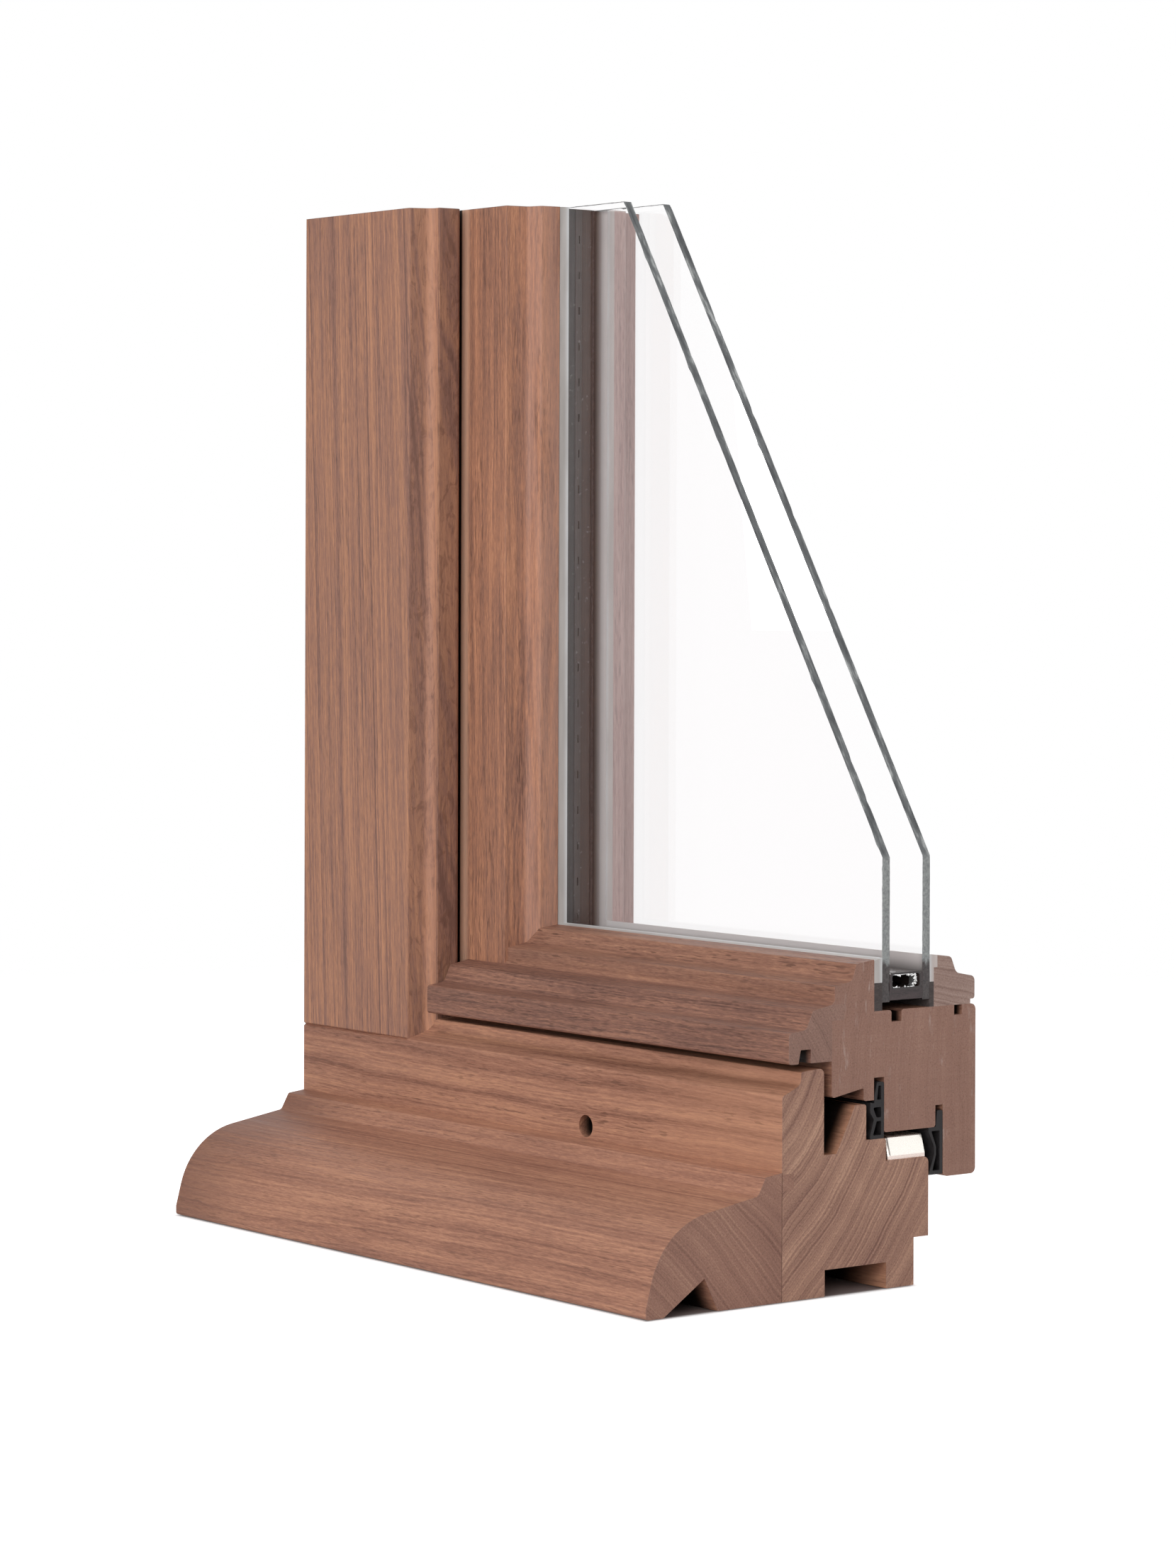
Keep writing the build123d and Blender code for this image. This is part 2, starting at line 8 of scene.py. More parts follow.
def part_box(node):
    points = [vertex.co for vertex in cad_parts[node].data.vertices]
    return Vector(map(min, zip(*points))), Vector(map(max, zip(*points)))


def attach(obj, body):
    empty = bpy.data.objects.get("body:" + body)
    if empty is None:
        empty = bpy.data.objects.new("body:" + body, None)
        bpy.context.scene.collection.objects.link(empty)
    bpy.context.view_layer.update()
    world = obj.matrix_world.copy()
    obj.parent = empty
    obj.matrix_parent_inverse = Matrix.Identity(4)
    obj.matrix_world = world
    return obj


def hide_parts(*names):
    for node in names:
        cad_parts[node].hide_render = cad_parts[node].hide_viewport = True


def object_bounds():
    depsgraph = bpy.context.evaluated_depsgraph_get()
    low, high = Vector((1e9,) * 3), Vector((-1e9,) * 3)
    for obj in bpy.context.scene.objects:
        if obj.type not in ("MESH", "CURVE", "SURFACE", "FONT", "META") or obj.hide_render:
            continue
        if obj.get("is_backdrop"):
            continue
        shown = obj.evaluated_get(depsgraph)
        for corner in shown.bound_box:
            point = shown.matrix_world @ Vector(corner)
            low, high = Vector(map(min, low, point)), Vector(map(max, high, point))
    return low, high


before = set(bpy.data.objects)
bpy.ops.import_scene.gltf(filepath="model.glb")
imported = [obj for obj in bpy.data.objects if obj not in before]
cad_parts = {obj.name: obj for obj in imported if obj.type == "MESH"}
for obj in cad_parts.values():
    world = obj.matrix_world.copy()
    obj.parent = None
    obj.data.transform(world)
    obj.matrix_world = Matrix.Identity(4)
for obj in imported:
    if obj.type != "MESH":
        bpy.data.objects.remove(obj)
cad_low, cad_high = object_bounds()

# Camera. The sample stands on the floor with its sawn end turned towards the camera, which looks
# level from the right of the weather side, at about two thirds of the sample's height.
camera_place = Vector((1.47060, -1.12353, 0.29301))
camera_turn = math.radians(52.24197)
camera_roll = math.radians(0.17419)
camera = bpy.data.objects.new("camera", bpy.data.cameras.new("camera"))
camera.data.lens = 98.018
camera.data.sensor_width = 36
camera.data.shift_y = -0.13764
camera.data.clip_start = 0.05
camera.data.clip_end = 40
camera.matrix_world = (
    Matrix.Translation(camera_place)
    @ Matrix.Rotation(camera_turn, 4, "Z")
    @ Matrix.Rotation(math.radians(90), 4, "X")
    @ Matrix.Rotation(camera_roll, 4, "Z")
)
bpy.context.scene.collection.objects.link(camera)
bpy.context.scene.camera = camera


# Frame rail. It is the bottom rail of the fixed frame, one length of reddish-brown hardwood,
# planed, moulded and oiled. It has a channel behind its lip, a bored drain hole and a groove
# underneath.
def colour(red, green, blue):
    """A colour as read from a screen, in the linear values that Blender mixes."""
    return tuple(
        ((c / 255 + 0.055) / 1.055) ** 2.4 if c > 10 else c / 255 / 12.92 for c in (red, green, blue)
    ) + (1.0,)


def half_dark(tint):
    """A colour with half its light."""
    return tuple(0.5 * c for c in tint[:3]) + (1,)


def shader(name):
    """A new material's node tree and its Principled shader."""
    material = bpy.data.materials.new(name)
    material.use_nodes = True
    return material, material.node_tree, material.node_tree.nodes["Principled BSDF"]


def feed(tree, socket, value):
    """Link an output into a socket, or set the socket to a plain value."""
    if isinstance(value, bpy.types.NodeSocket):
        tree.links.new(value, socket)
    else:
        socket.default_value = value


def coordinates(tree):
    """A point's place on the sample, and its x, y and z one by one."""
    place = tree.nodes.new("ShaderNodeTexCoord").outputs["Object"]
    split = tree.nodes.new("ShaderNodeSeparateXYZ")
    tree.links.new(place, split.inputs[0])
    return place, split.outputs


def maths(tree, operation, *values):
    """Arithmetic on single numbers."""
    node = tree.nodes.new("ShaderNodeMath")
    node.operation = operation
    for socket, value in zip(node.inputs, values):
        feed(tree, socket, value)
    return node.outputs[0]


def vectors(tree, operation, *values):
    """Arithmetic on vectors, or the length of one."""
    node = tree.nodes.new("ShaderNodeVectorMath")
    node.operation = operation
    for socket, value in zip(node.inputs, values):
        feed(tree, socket, value)
    return node.outputs["Value" if operation == "LENGTH" else "Vector"]


def noise(tree, vector, scale, detail=2.0, roughness=0.5, distortion=0.0):
    """Soft noise over a vector that is first stretched by three scales."""
    node = tree.nodes.new("ShaderNodeTexNoise")
    feed(tree, node.inputs["Vector"], vectors(tree, "MULTIPLY", vector, scale))
    node.inputs["Scale"].default_value = 1.0
    node.inputs["Detail"].default_value = detail
    node.inputs["Roughness"].default_value = roughness
    node.inputs["Distortion"].default_value = distortion
    return node.outputs


def between(tree, value, low, high, to_low=0.0, to_high=1.0):
    """Carry a value from one range to another, held at its ends."""
    node = tree.nodes.new("ShaderNodeMapRange")
    node.interpolation_type = "SMOOTHSTEP"
    for name, number in zip(("From Min", "From Max", "To Min", "To Max"), (low, high, to_low, to_high)):
        node.inputs[name].default_value = number
    feed(tree, node.inputs["Value"], value)
    return node.outputs["Result"]


def on_cut(tree, along, cut_at):
    """1 on the sawn face that lies at cut_at, and 0 from just behind it."""
    return between(tree, along, cut_at - 0.0004, cut_at - 0.0001)


def blended(tree, share, first, second):
    """The first colour with a share of the second over it."""
    node = tree.nodes.new("ShaderNodeMix")
    node.data_type = "RGBA"
    feed(tree, node.inputs["Factor"], share)
    feed(tree, node.inputs["A"], first)
    feed(tree, node.inputs["B"], second)
    return node.outputs["Result"]


def tones(tree, value, *stops):
    """Colour ramp over a value, from (position, colour) stops."""
    node = tree.nodes.new("ShaderNodeValToRGB")
    ramp = node.color_ramp
    while len(ramp.elements) < len(stops):
        ramp.elements.new(0.5)
    for element, (position, tint) in zip(ramp.elements, stops):
        element.position = position
        element.color = tint
    feed(tree, node.inputs["Fac"], value)
    return node.outputs["Color"]


def embossed(tree, face, height, strength, deep):
    """Let a finish stand up and sink with height, up to deep metres."""
    bump = tree.nodes.new("ShaderNodeBump")
    bump.inputs["Strength"].default_value = strength
    bump.inputs["Distance"].default_value = deep
    feed(tree, bump.inputs["Height"], height)
    tree.links.new(bump.outputs["Normal"], face.inputs["Normal"])


def timber(
    name, along, heart, ring, tints, start, end, figure=1.0, lean=0.0, rings=1.0, end_rings=1.0, pore=0.5
):
    """Solid hardwood: growth rings about a heart line, fibres and pores along the grain.

    along is the grain's axis, heart the rings' centre across it and ring their width, in metres.
    tints go from the dark, mauve bands to the light, orange ones. start is where in the log the
    board was cut. end is the sawn end's place along the grain, with its own tints. figure is how
    wavy the grain runs, lean its slope across the board, and rings, end_rings and pore how
    strongly each of them shows.
    """
    material, tree, face = shader(name)
    x, y, z = coordinates(tree)[1]
    across, up, grain = (y, z, x) if along == "X" else (x, y, z)
    across = maths(tree, "MULTIPLY_ADD", grain, lean, across)
    join = tree.nodes.new("ShaderNodeCombineXYZ")
    for socket, value in zip(join.inputs, (across, up, maths(tree, "ADD", grain, start))):
        feed(tree, socket, value)
    wood = join.outputs[0]

    def drift(scale, reach):
        """A slow sideways wander of the grain."""
        moved = vectors(tree, "SUBTRACT", noise(tree, wood, scale, 2.0)["Color"], (0.5, 0.5, 0.5))
        return vectors(tree, "MULTIPLY", moved, (reach * figure, reach * figure, 0))

    from_heart = vectors(tree, "SUBTRACT", wood, (heart[0], heart[1], 0))
    from_heart = vectors(tree, "MULTIPLY", from_heart, (1, 1, 0))
    from_heart = vectors(tree, "ADD", from_heart, drift((9, 9, 1.8), 0.022))
    from_heart = vectors(tree, "ADD", from_heart, drift((60, 60, 22), 0.0022))
    years = maths(tree, "DIVIDE", vectors(tree, "LENGTH", from_heart), ring)

    def banding(scale, detail):
        """Darker and lighter years, from the heart outwards."""
        node = tree.nodes.new("ShaderNodeTexNoise")
        node.noise_dimensions = "1D"
        node.inputs["Scale"].default_value = scale
        node.inputs["Detail"].default_value = detail
        node.inputs["Roughness"].default_value = 0.6
        feed(tree, node.inputs["W"], years)
        return node.outputs["Fac"]

    broad = banding(0.7, 1.0)
    narrow = banding(4.2, 2.0)
    swayed = vectors(tree, "ADD", wood, drift((30, 30, 9), 0.0030))
    stripe = noise(tree, swayed, (210, 210, 9), 3.0, 0.6)["Fac"]
    streak = noise(tree, swayed, (800, 800, 24), 3.0, 0.6)["Fac"]
    fibre = noise(tree, wood, (1900, 1900, 220), 2.0, 0.65)["Fac"]
    vessel = noise(tree, swayed, (1150, 1150, 120), 1.0)["Fac"]
    cluster = noise(tree, swayed, (150, 150, 9), 2.0)["Fac"]
    pores = maths(
        tree, "MULTIPLY", between(tree, vessel, 0.57, 0.68), between(tree, cluster, 0.42, 0.60, 0.12, 1.0)
    )
    cloud = noise(tree, wood, (22, 22, 8), 3.0, 0.55, 0.5)["Fac"]

    def summed(*weighed, level=0.5):
        """Several patterns laid over each other, each with its weight."""
        total = level
        for value, weight in weighed:
            part = maths(tree, "MULTIPLY", maths(tree, "SUBTRACT", value, 0.5), weight)
            total = maths(tree, "ADD", part, total)
        return total

    tone = summed(
        (cloud, 0.55),
        (broad, 0.45 * rings),
        (narrow, 0.55 * rings),
        (stripe, 0.55),
        (streak, 0.85),
        (fibre, 0.95),
    )
    skin = tones(tree, tone, *zip((0.08, 0.36, 0.60, 0.92), tints))
    skin = blended(tree, maths(tree, "MULTIPLY", pores, pore), skin, half_dark(tints[0]))
    cut_at, end_tints = end
    stipple = noise(tree, wood, (1300, 1300, 1300), 2.0, 0.7)["Fac"]
    cut_tone = summed(
        (narrow, end_rings),
        (broad, 0.8 * end_rings),
        (stipple, 0.8),
        (cloud, 0.6),
        level=0.52,
    )
    cut_skin = tones(tree, cut_tone, *zip((0.10, 0.38, 0.62, 0.90), end_tints))
    dots = noise(tree, wood, (1500, 1500, 400), 0.0)["Fac"]
    dots = between(tree, dots, 0.66, 0.74, 0.0, 0.25)
    cut_skin = blended(tree, dots, cut_skin, half_dark(end_tints[0]))
    skin = blended(tree, on_cut(tree, grain, cut_at), skin, cut_skin)
    feed(tree, face.inputs["Base Color"], skin)
    feed(tree, face.inputs["Roughness"], between(tree, streak, 0.3, 0.7, 0.46, 0.62))
    face.inputs["Specular IOR Level"].default_value = 0.2
    raised = maths(tree, "SUBTRACT", maths(tree, "MULTIPLY", fibre, 0.8), pores)
    embossed(tree, face, raised, 0.4, 0.0002)
    return material


def overlaid(material, share, tint):
    """Blend a colour over what a material has so far."""
    tree = material.node_tree
    base = tree.nodes["Principled BSDF"].inputs["Base Color"]
    feed(tree, base, blended(tree, share, base.links[0].from_socket, tint))


def paint_groove_shade(material, *grooves):
    """Painted shade, nearly black, over grooves along X, away from their ends.

    Each is (front, back, bottom, top, fade), the fade being the way in from an end.
    """
    tree = material.node_tree
    x, y, z = coordinates(tree)[1]
    from_middle = maths(tree, "ABSOLUTE", x)
    for front, back, bottom, top, fade in grooves:
        share = between(tree, from_middle, sawn_end - 0.0002, sawn_end - fade)
        for along, low, high in ((y, front, back), (z, bottom, top)):
            share = maths(tree, "MULTIPLY", share, between(tree, along, low - 0.0001, low))
            share = maths(tree, "MULTIPLY", share, between(tree, along, high + 0.0001, high))
        overlaid(material, share, painted_shade_tint)


def dress(node, material):
    """Give a carried-over solid its finish."""
    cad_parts[node].material_slots[0].material = material


sawn_end = cad_high[0]
sawn_top = cad_high[2]
rail_face = -0.01765
below_floor = -0.001
# Near black, for painted shade in the grooves, the drain hole and the gap behind the frame's lip.
painted_shade_tint = colour(24, 16, 13)
rail_end_tints = (colour(128, 93, 82), colour(155, 118, 102), colour(171, 132, 113), colour(196, 156, 133))
rail_timber = timber(
    "rail timber",
    "X",
    heart=(-0.188, 0.188),
    ring=0.0040,
    tints=(colour(128, 87, 70), colour(157, 111, 91), colour(174, 126, 103), colour(198, 147, 118)),
    start=0.4,
    end=(sawn_end, rail_end_tints),
    rings=1.9,
    pore=0.55,
)
tree = rail_timber.node_tree
place, (x, y, z) = coordinates(tree)
# Painted light: the face grows lighter and warmer towards the sawn end.
painted_end_light = between(tree, x, 0.05, 0.15, 0.0, 0.35)
painted_end_light = maths(tree, "MULTIPLY", painted_end_light, between(tree, x, sawn_end - 0.0001, sawn_end - 0.0004))
overlaid(rail_timber, painted_end_light, colour(194, 142, 112))
# Painted shade fills the drain channel and the groove underneath, away from the sawn end.
drain_channel = (rail_face + 0.0218, rail_face + 0.0421, 0.0569, 0.0930, 0.0095)
under_groove = (rail_face + 0.0224, rail_face + 0.0558, below_floor, 0.0108, 0.030)
paint_groove_shade(rail_timber, drain_channel, under_groove)
hole_centre = (sawn_end - 0.1283, 0, 0.0570)
hole_radius = 0.0049
hole_fade = 0.006           # it darkens over this way in
# Painted shade darkens the drain hole a little way in from the face.
from_axis = vectors(tree, "MULTIPLY", vectors(tree, "SUBTRACT", place, hole_centre), (1, 0, 1))
painted_hole_shade = between(tree, vectors(tree, "LENGTH", from_axis), hole_radius, hole_radius - 0.0001)
painted_hole_shade = maths(tree, "MULTIPLY", painted_hole_shade, between(tree, y, rail_face, rail_face + hole_fade))
overlaid(rail_timber, painted_hole_shade, painted_shade_tint)
dress("frame_rail", rail_timber)

# Frame stile. It stands on the rail with its foot scribed over the rail's moulding. Its timber is
# quarter-sawn, so the face shows fine upright lines that lean a little. The moulding cuts across
# wild grain; dark curls of that grain, laid only on its slopes, add painted shade there, and the
# band between them carries a painted highlight.
stile_end_tints = (colour(112, 82, 72), colour(138, 104, 90), colour(158, 122, 103), colour(176, 138, 116))
stile_timber = timber(
    "stile timber",
    "Z",
    heart=(-0.90, -0.10),
    ring=0.0048,
    tints=(colour(124, 91, 80), colour(152, 112, 97), colour(172, 125, 101), colour(196, 143, 112)),
    start=0.7,
    end=(sawn_top, stile_end_tints),
    figure=0.7,
    lean=0.045,
    rings=1.8,
    pore=0.3,
)
mould_start = -0.0887
band_start = -0.0856
band_end = -0.0803
tree = stile_timber.node_tree
place, (x, y, z) = coordinates(tree)
curl = noise(tree, place, (190, 190, 75), 4.0, 0.65, 1.6)["Fac"]
band = between(tree, x, band_start - 0.0006, band_start + 0.0006)
band = maths(tree, "MULTIPLY", band, between(tree, x, band_end + 0.0004, band_end - 0.0004))
slopes = maths(tree, "SUBTRACT", between(tree, x, mould_start - 0.0003, mould_start + 0.0006), band)
# Painted shade on the slopes, following the grain's curls, and a painted highlight on the band.
curl_with_painted_shade = maths(tree, "MULTIPLY", slopes, between(tree, curl, 0.50, 0.64, 0.32, 0.65))
painted_band_highlight = maths(tree, "MULTIPLY", band, between(tree, curl, 0.65, 0.40, 0.1, 0.6))
overlaid(stile_timber, curl_with_painted_shade, colour(104, 72, 60))
overlaid(stile_timber, painted_band_highlight, colour(194, 144, 118))
dress("frame_stile", stile_timber)

# Sill nose. It is a moulded sill board, glued to the face of the frame rail, with a drip groove
# underneath that painted shade darkens. It is the same timber from another board, with painted
# shade towards its left end. The sawn end shows the dark glue line.
nose_end_tints = (colour(122, 88, 76), colour(144, 107, 93), colour(158, 119, 103), colour(180, 141, 120))
nose_timber = timber(
    "nose timber",
    "X",
    heart=(-0.25, -0.20),
    ring=0.0046,
    tints=(colour(133, 92, 76), colour(156, 111, 92), colour(175, 127, 104), colour(197, 147, 119)),
    start=1.3,
    end=(sawn_end, nose_end_tints),
    rings=1.1,
    end_rings=0.65,
    pore=0.35,
)
# Painted shade in the drip groove.
drip_groove = (rail_face - 0.0611, rail_face - 0.0325, below_floor, 0.0140, 0.012)
paint_groove_shade(nose_timber, drip_groove)
tree = nose_timber.node_tree
x, y, z = coordinates(tree)[1]
glue_line = between(tree, y, rail_face - 0.0004, rail_face - 0.0001)
glue_line = maths(tree, "MULTIPLY", glue_line, between(tree, y, rail_face + 0.0001, rail_face))
glue_line = maths(tree, "MULTIPLY", glue_line, on_cut(tree, x, sawn_end))
overlaid(nose_timber, glue_line, colour(92, 64, 54))
# Painted shade towards the left end.
painted_left_shade = between(tree, x, -0.095, -0.180, 0.0, 0.60)
overlaid(nose_timber, painted_left_shade, colour(112, 78, 66))
dress("sill_nose", nose_timber)

# Sash rail and weather bar. The bottom rail of the opening sash and the moulded bar glued to its
# face are both of a greyer timber. The saw left marks and pale dust on the rail's end, and
# painted shade darkens the grooves.
sash_end_tints = (colour(129, 96, 84), colour(149, 113, 99), colour(159, 122, 107), colour(177, 141, 125))
sash_timber = timber(
    "sash rail timber",
    "X",
    heart=(0.90, 0.02),
    ring=0.0034,
    tints=(colour(112, 77, 65), colour(136, 97, 81), colour(154, 112, 93), colour(182, 136, 110)),
    start=2.1,
    end=(sawn_end, sash_end_tints),
    rings=0.7,
    end_rings=0.35,
    pore=0.6,
)
sash_face = rail_face + 0.0261
# Painted shade in the grooves and under the sash's foot.
vent_groove = (sash_face + 0.0320, sash_face + 0.0376, 0.1078, 0.1135, 0.004)
bead_groove = (sash_face + 0.0666, sash_face + 0.0710, 0.1085, 0.1135, 0.004)
sash_foot = (sash_face - 0.0001, sash_face + 0.0172, 0.0790, 0.0826, 0.012)
paint_groove_shade(sash_timber, vent_groove, bead_groove, sash_foot)
tree = sash_timber.node_tree
place, (x, y, z) = coordinates(tree)
on_end = on_cut(tree, x, sawn_end)
upright = noise(tree, place, (1, 900, 24), 2.0, 0.6)["Fac"]
level = noise(tree, place, (1, 40, 700), 2.0, 0.6)["Fac"]
marks = between(tree, maths(tree, "MULTIPLY", upright, level), 0.26, 0.38, 0.0, 0.20)
overlaid(sash_timber, maths(tree, "MULTIPLY", on_end, marks), colour(176, 142, 126))
dust = noise(tree, place, (1, 230, 60), 4.0, 0.7)["Fac"]
dust = maths(tree, "MULTIPLY", between(tree, dust, 0.57, 0.72, 0.0, 0.55), between(tree, upright, 0.3, 0.6))
overlaid(sash_timber, maths(tree, "MULTIPLY", on_end, dust), colour(196, 176, 168))
dress("sash_rail", sash_timber)

bar_end_tints = (colour(117, 90, 81), colour(138, 107, 96), colour(152, 119, 106), colour(170, 137, 123))
bar_timber = timber(
    "weather bar timber",
    "X",
    heart=(0.50, 0.42),
    ring=0.0040,
    tints=(colour(95, 66, 57), colour(122, 87, 75), colour(145, 105, 89), colour(177, 130, 107)),
    start=2.6,
    end=(sawn_end, bar_end_tints),
    end_rings=0.5,
    pore=0.45,
)
# Painted shade in the weather bar's drip groove.
bar_drip = (sash_face - 0.0167, sash_face - 0.0111, 0.0940, 0.1002, 0.004)
paint_groove_shade(bar_timber, bar_drip)
dress("weather_bar", bar_timber)

# Sash stile. It runs through to the foot beside the sash rail, a warmer, more orange board than
# the frame's. Its sight edge is moulded out of paler wood. Behind the frame's lip, painted shade
# makes a near-black strip in the gap, and painted light brightens the shaded face beside it.
sash_stile_end_tints = (
    colour(112, 84, 75),
    colour(132, 101, 90),
    colour(146, 113, 100),
    colour(164, 130, 114),
)
sash_stile_timber = timber(
    "sash stile timber",
    "Z",
    heart=(0.70, -0.30),
    ring=0.0040,
    tints=(colour(122, 88, 76), colour(152, 110, 92), colour(178, 126, 99), colour(206, 150, 117)),
    start=2.9,
    end=(sawn_top, sash_stile_end_tints),
    lean=0.012,
)
paler_from = -0.0492
lip_edge = -0.0785
tree = sash_stile_timber.node_tree
place, (x, y, z) = coordinates(tree)
patch = noise(tree, place, (160, 160, 12), 3.0, 0.6)["Fac"]
on_sight_edge = between(tree, x, paler_from - 0.0012, paler_from + 0.0012)
paler = maths(tree, "MULTIPLY", on_sight_edge, between(tree, patch, 0.3, 0.6, 0.05, 0.35))
# Painted shade in the gap behind the frame's lip, with painted light on the shaded face beside it.
on_face = between(tree, y, sash_face + 0.0008, sash_face + 0.0004)
behind_lip = between(tree, x, lip_edge + 0.0012, lip_edge - 0.0025, 0.0, 0.6)
painted_gap_light = maths(tree, "MULTIPLY", on_face, behind_lip)
painted_gap_shade = maths(tree, "MULTIPLY", on_face, between(tree, x, lip_edge - 0.0052, lip_edge - 0.0062))
overlaid(sash_stile_timber, paler, colour(204, 160, 142))
overlaid(sash_stile_timber, painted_gap_light, colour(240, 196, 168))
overlaid(sash_stile_timber, painted_gap_shade, painted_shade_tint)
dress("sash_stile", sash_stile_timber)

# Glazing beads. Two thin mouldings of pinkish hardwood, mitred at the corner, hold the glass from
# the inside.
bead_tints = (colour(174, 138, 132), colour(198, 162, 156), colour(211, 178, 171), colour(225, 195, 189))
bead_end_tints = (colour(142, 115, 105), colour(161, 134, 124), colour(174, 148, 137), colour(188, 163, 153))
for bead, grain_way, heart, cut_at, start in (
    ("bottom_bead", "X", (0.20, 0.60), sawn_end, 3.7),
    ("side_bead", "Z", (0.60, 0.30), sawn_top, 4.7),
):
    bead_timber = timber(
        bead.replace("_", " ") + " timber",
        grain_way,
        heart=heart,
        ring=0.0040,
        tints=bead_tints,
        start=start,
        end=(cut_at, bead_end_tints),
        rings=0.7,
        pore=0.35,
    )
    dress(bead, bead_timber)

# Glass panes. Two panes of 4 mm float glass stand in tape and silicone. They were sawn off square
# at the end, slantwise above and level at the top, and the saw left ground faces with chipped
# arrises.
cut_corner = Vector((sawn_end, 0, 0.1756))
cut_head = Vector((-0.0007, 0, sawn_top))
wetted = 0.00005            # the bedding clings to the glass
arris = 0.0006
chip_spacing = 0.0016
glass_index = 1.46


def clear_glass():
    """Float glass that lets the lamps' light through to the timber behind it."""
    material, tree, face = shader("float glass")
    face.inputs["Base Color"].default_value = (0.994, 0.987, 0.989, 1)
    face.inputs["Roughness"].default_value = 0.0
    face.inputs["IOR"].default_value = glass_index
    face.inputs["Transmission Weight"].default_value = 1.0
    paths = tree.nodes.new("ShaderNodeLightPath")
    passing = tree.nodes.new("ShaderNodeBsdfTransparent")
    passing.inputs["Color"].default_value = (0.95, 0.95, 0.95, 1)
    either = tree.nodes.new("ShaderNodeMixShader")
    share = maths(tree, "MAXIMUM", paths.outputs["Is Shadow Ray"], paths.outputs["Is Diffuse Ray"])
    tree.links.new(share, either.inputs[0])
    tree.links.new(face.outputs[0], either.inputs[1])
    tree.links.new(passing.outputs[0], either.inputs[2])
    tree.links.new(either.outputs[0], tree.nodes["Material Output"].inputs["Surface"])
    return material


def sawn_glass():
    """Ground grey-green faces, darker on the slant, smeared with sealant near the foot."""
    smeared_to = 0.1352
    clean_from = 0.1382
    smear_reach = 0.010
    material, tree, face = shader("sawn glass")
    place, (x, y, z) = coordinates(tree)
    patch = noise(tree, place, (75, 320, 75), 3.0, 0.6)["Fac"]
    grit = noise(tree, place, (900, 900, 900), 2.0, 0.7)["Fac"]
    slant = between(tree, z, cut_corner.z - 0.002, cut_corner.z + 0.002)
    square_cut = tones(tree, grit, (0.30, colour(124, 127, 127)), (0.70, colour(166, 169, 168)))
    slant_cut = tones(
        tree,
        patch,
        (0.36, colour(76, 78, 80)),
        (0.55, colour(110, 113, 114)),
        (0.70, colour(180, 183, 182)),
    )
    skin = blended(tree, slant, square_cut, slant_cut)
    smear = noise(tree, place, (260, 260, 90), 3.0, 0.6)["Fac"]
    smear_height = maths(tree, "ADD", z, maths(tree, "MULTIPLY", smear, smear_reach))
    smeared = between(tree, smear_height, clean_from, smeared_to)
    sealant = tones(tree, grit, (0.3, colour(40, 34, 34)), (0.7, colour(78, 71, 70)))
    skin = blended(tree, smeared, skin, sealant)
    feed(tree, face.inputs["Base Color"], skin)
    feed(tree, face.inputs["Roughness"], between(tree, patch, 0.3, 0.7, 0.55, 0.30))
    face.inputs["IOR"].default_value = glass_index
    embossed(tree, face, grit, 0.4, 0.0002)
    return material


